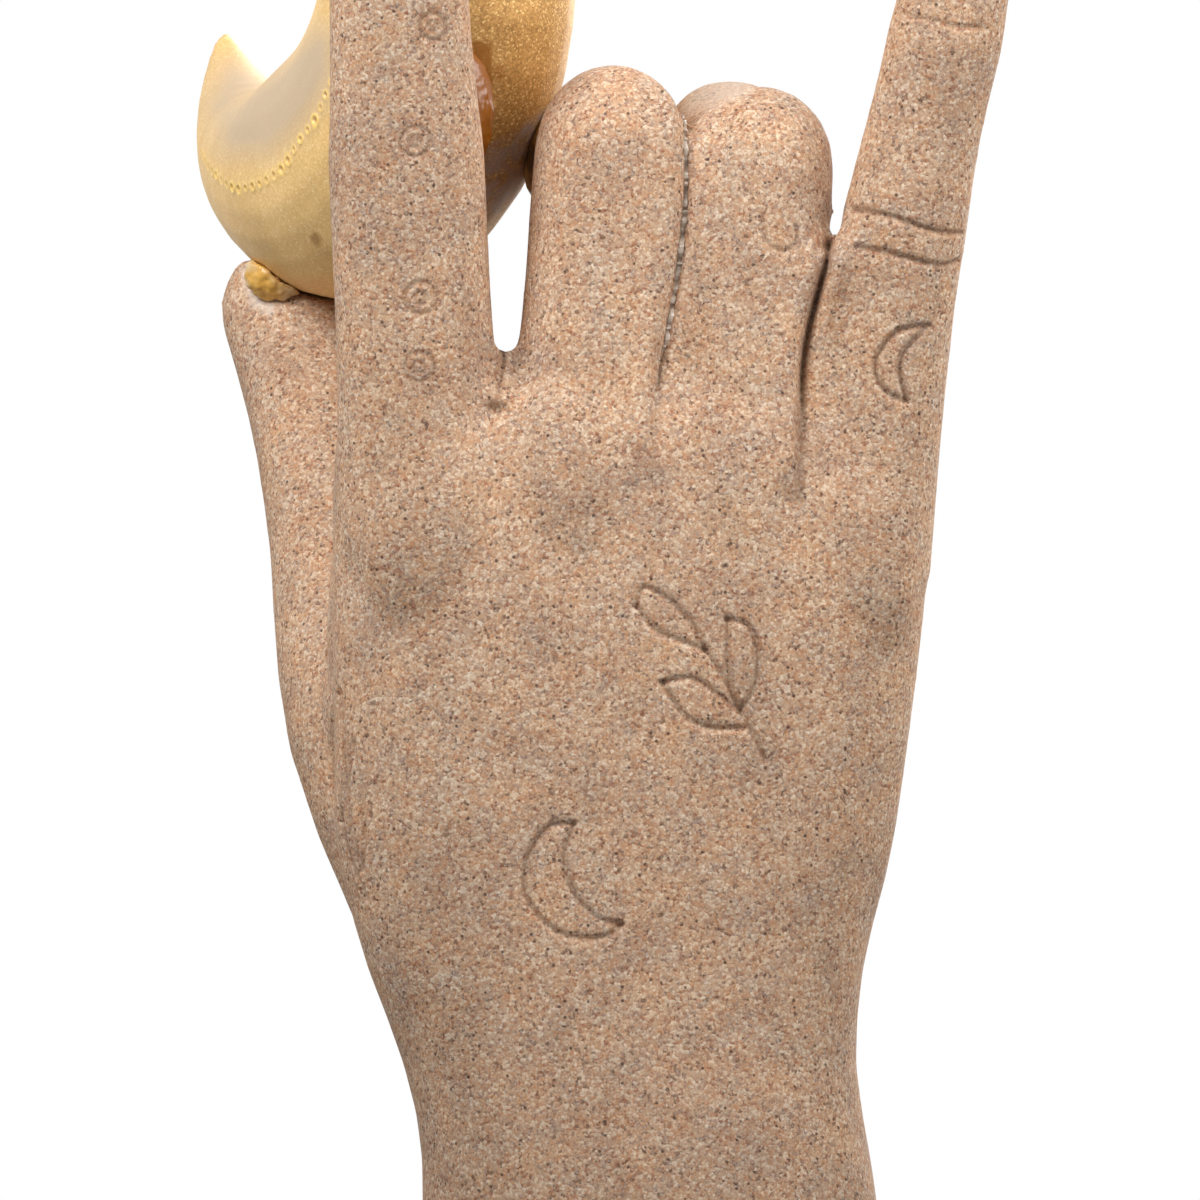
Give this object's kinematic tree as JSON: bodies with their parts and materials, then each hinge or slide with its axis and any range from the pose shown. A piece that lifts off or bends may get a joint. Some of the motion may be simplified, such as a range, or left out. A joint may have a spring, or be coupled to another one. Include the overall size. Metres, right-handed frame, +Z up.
{
  "type": "resin hand sculpture",
  "caption": "Free-standing table ornament: a sand-textured resin right hand on its forearm, index and little finger up, pinching a gold crescent moon.",
  "frame": {"origin": "middle of the underside of the felt pad, where the sculpture stands on the table", "axes": "+Z up along the forearm and fingers; -Y is the side that the back of the hand faces; -X is the thumb side"},
  "size_m": [0.1059, 0.096, 0.2536],
  "materials": {
    "sand_resin": "matte",
    "gold_paint": "satin",
    "steel_pin": "satin",
    "pale_adhesive": "satin",
    "amber_adhesive": "gloss",
    "dark_adhesive": "satin",
    "clear_adhesive": "gloss",
    "plug_resin": "matte",
    "felt": "matte"
  },
  "bodies": {
    "root": {"hand_casting": "sand_resin", "crescent_moon": "gold_paint", "moon_dowel": "steel_pin", "thumb_glue": "pale_adhesive", "index_glue": "amber_adhesive", "middle_finger_glue": "dark_adhesive", "finger_seam_glue": "clear_adhesive", "base_plug": "plug_resin", "felt_base_pad": "felt"}
  },
  "joints": []
}
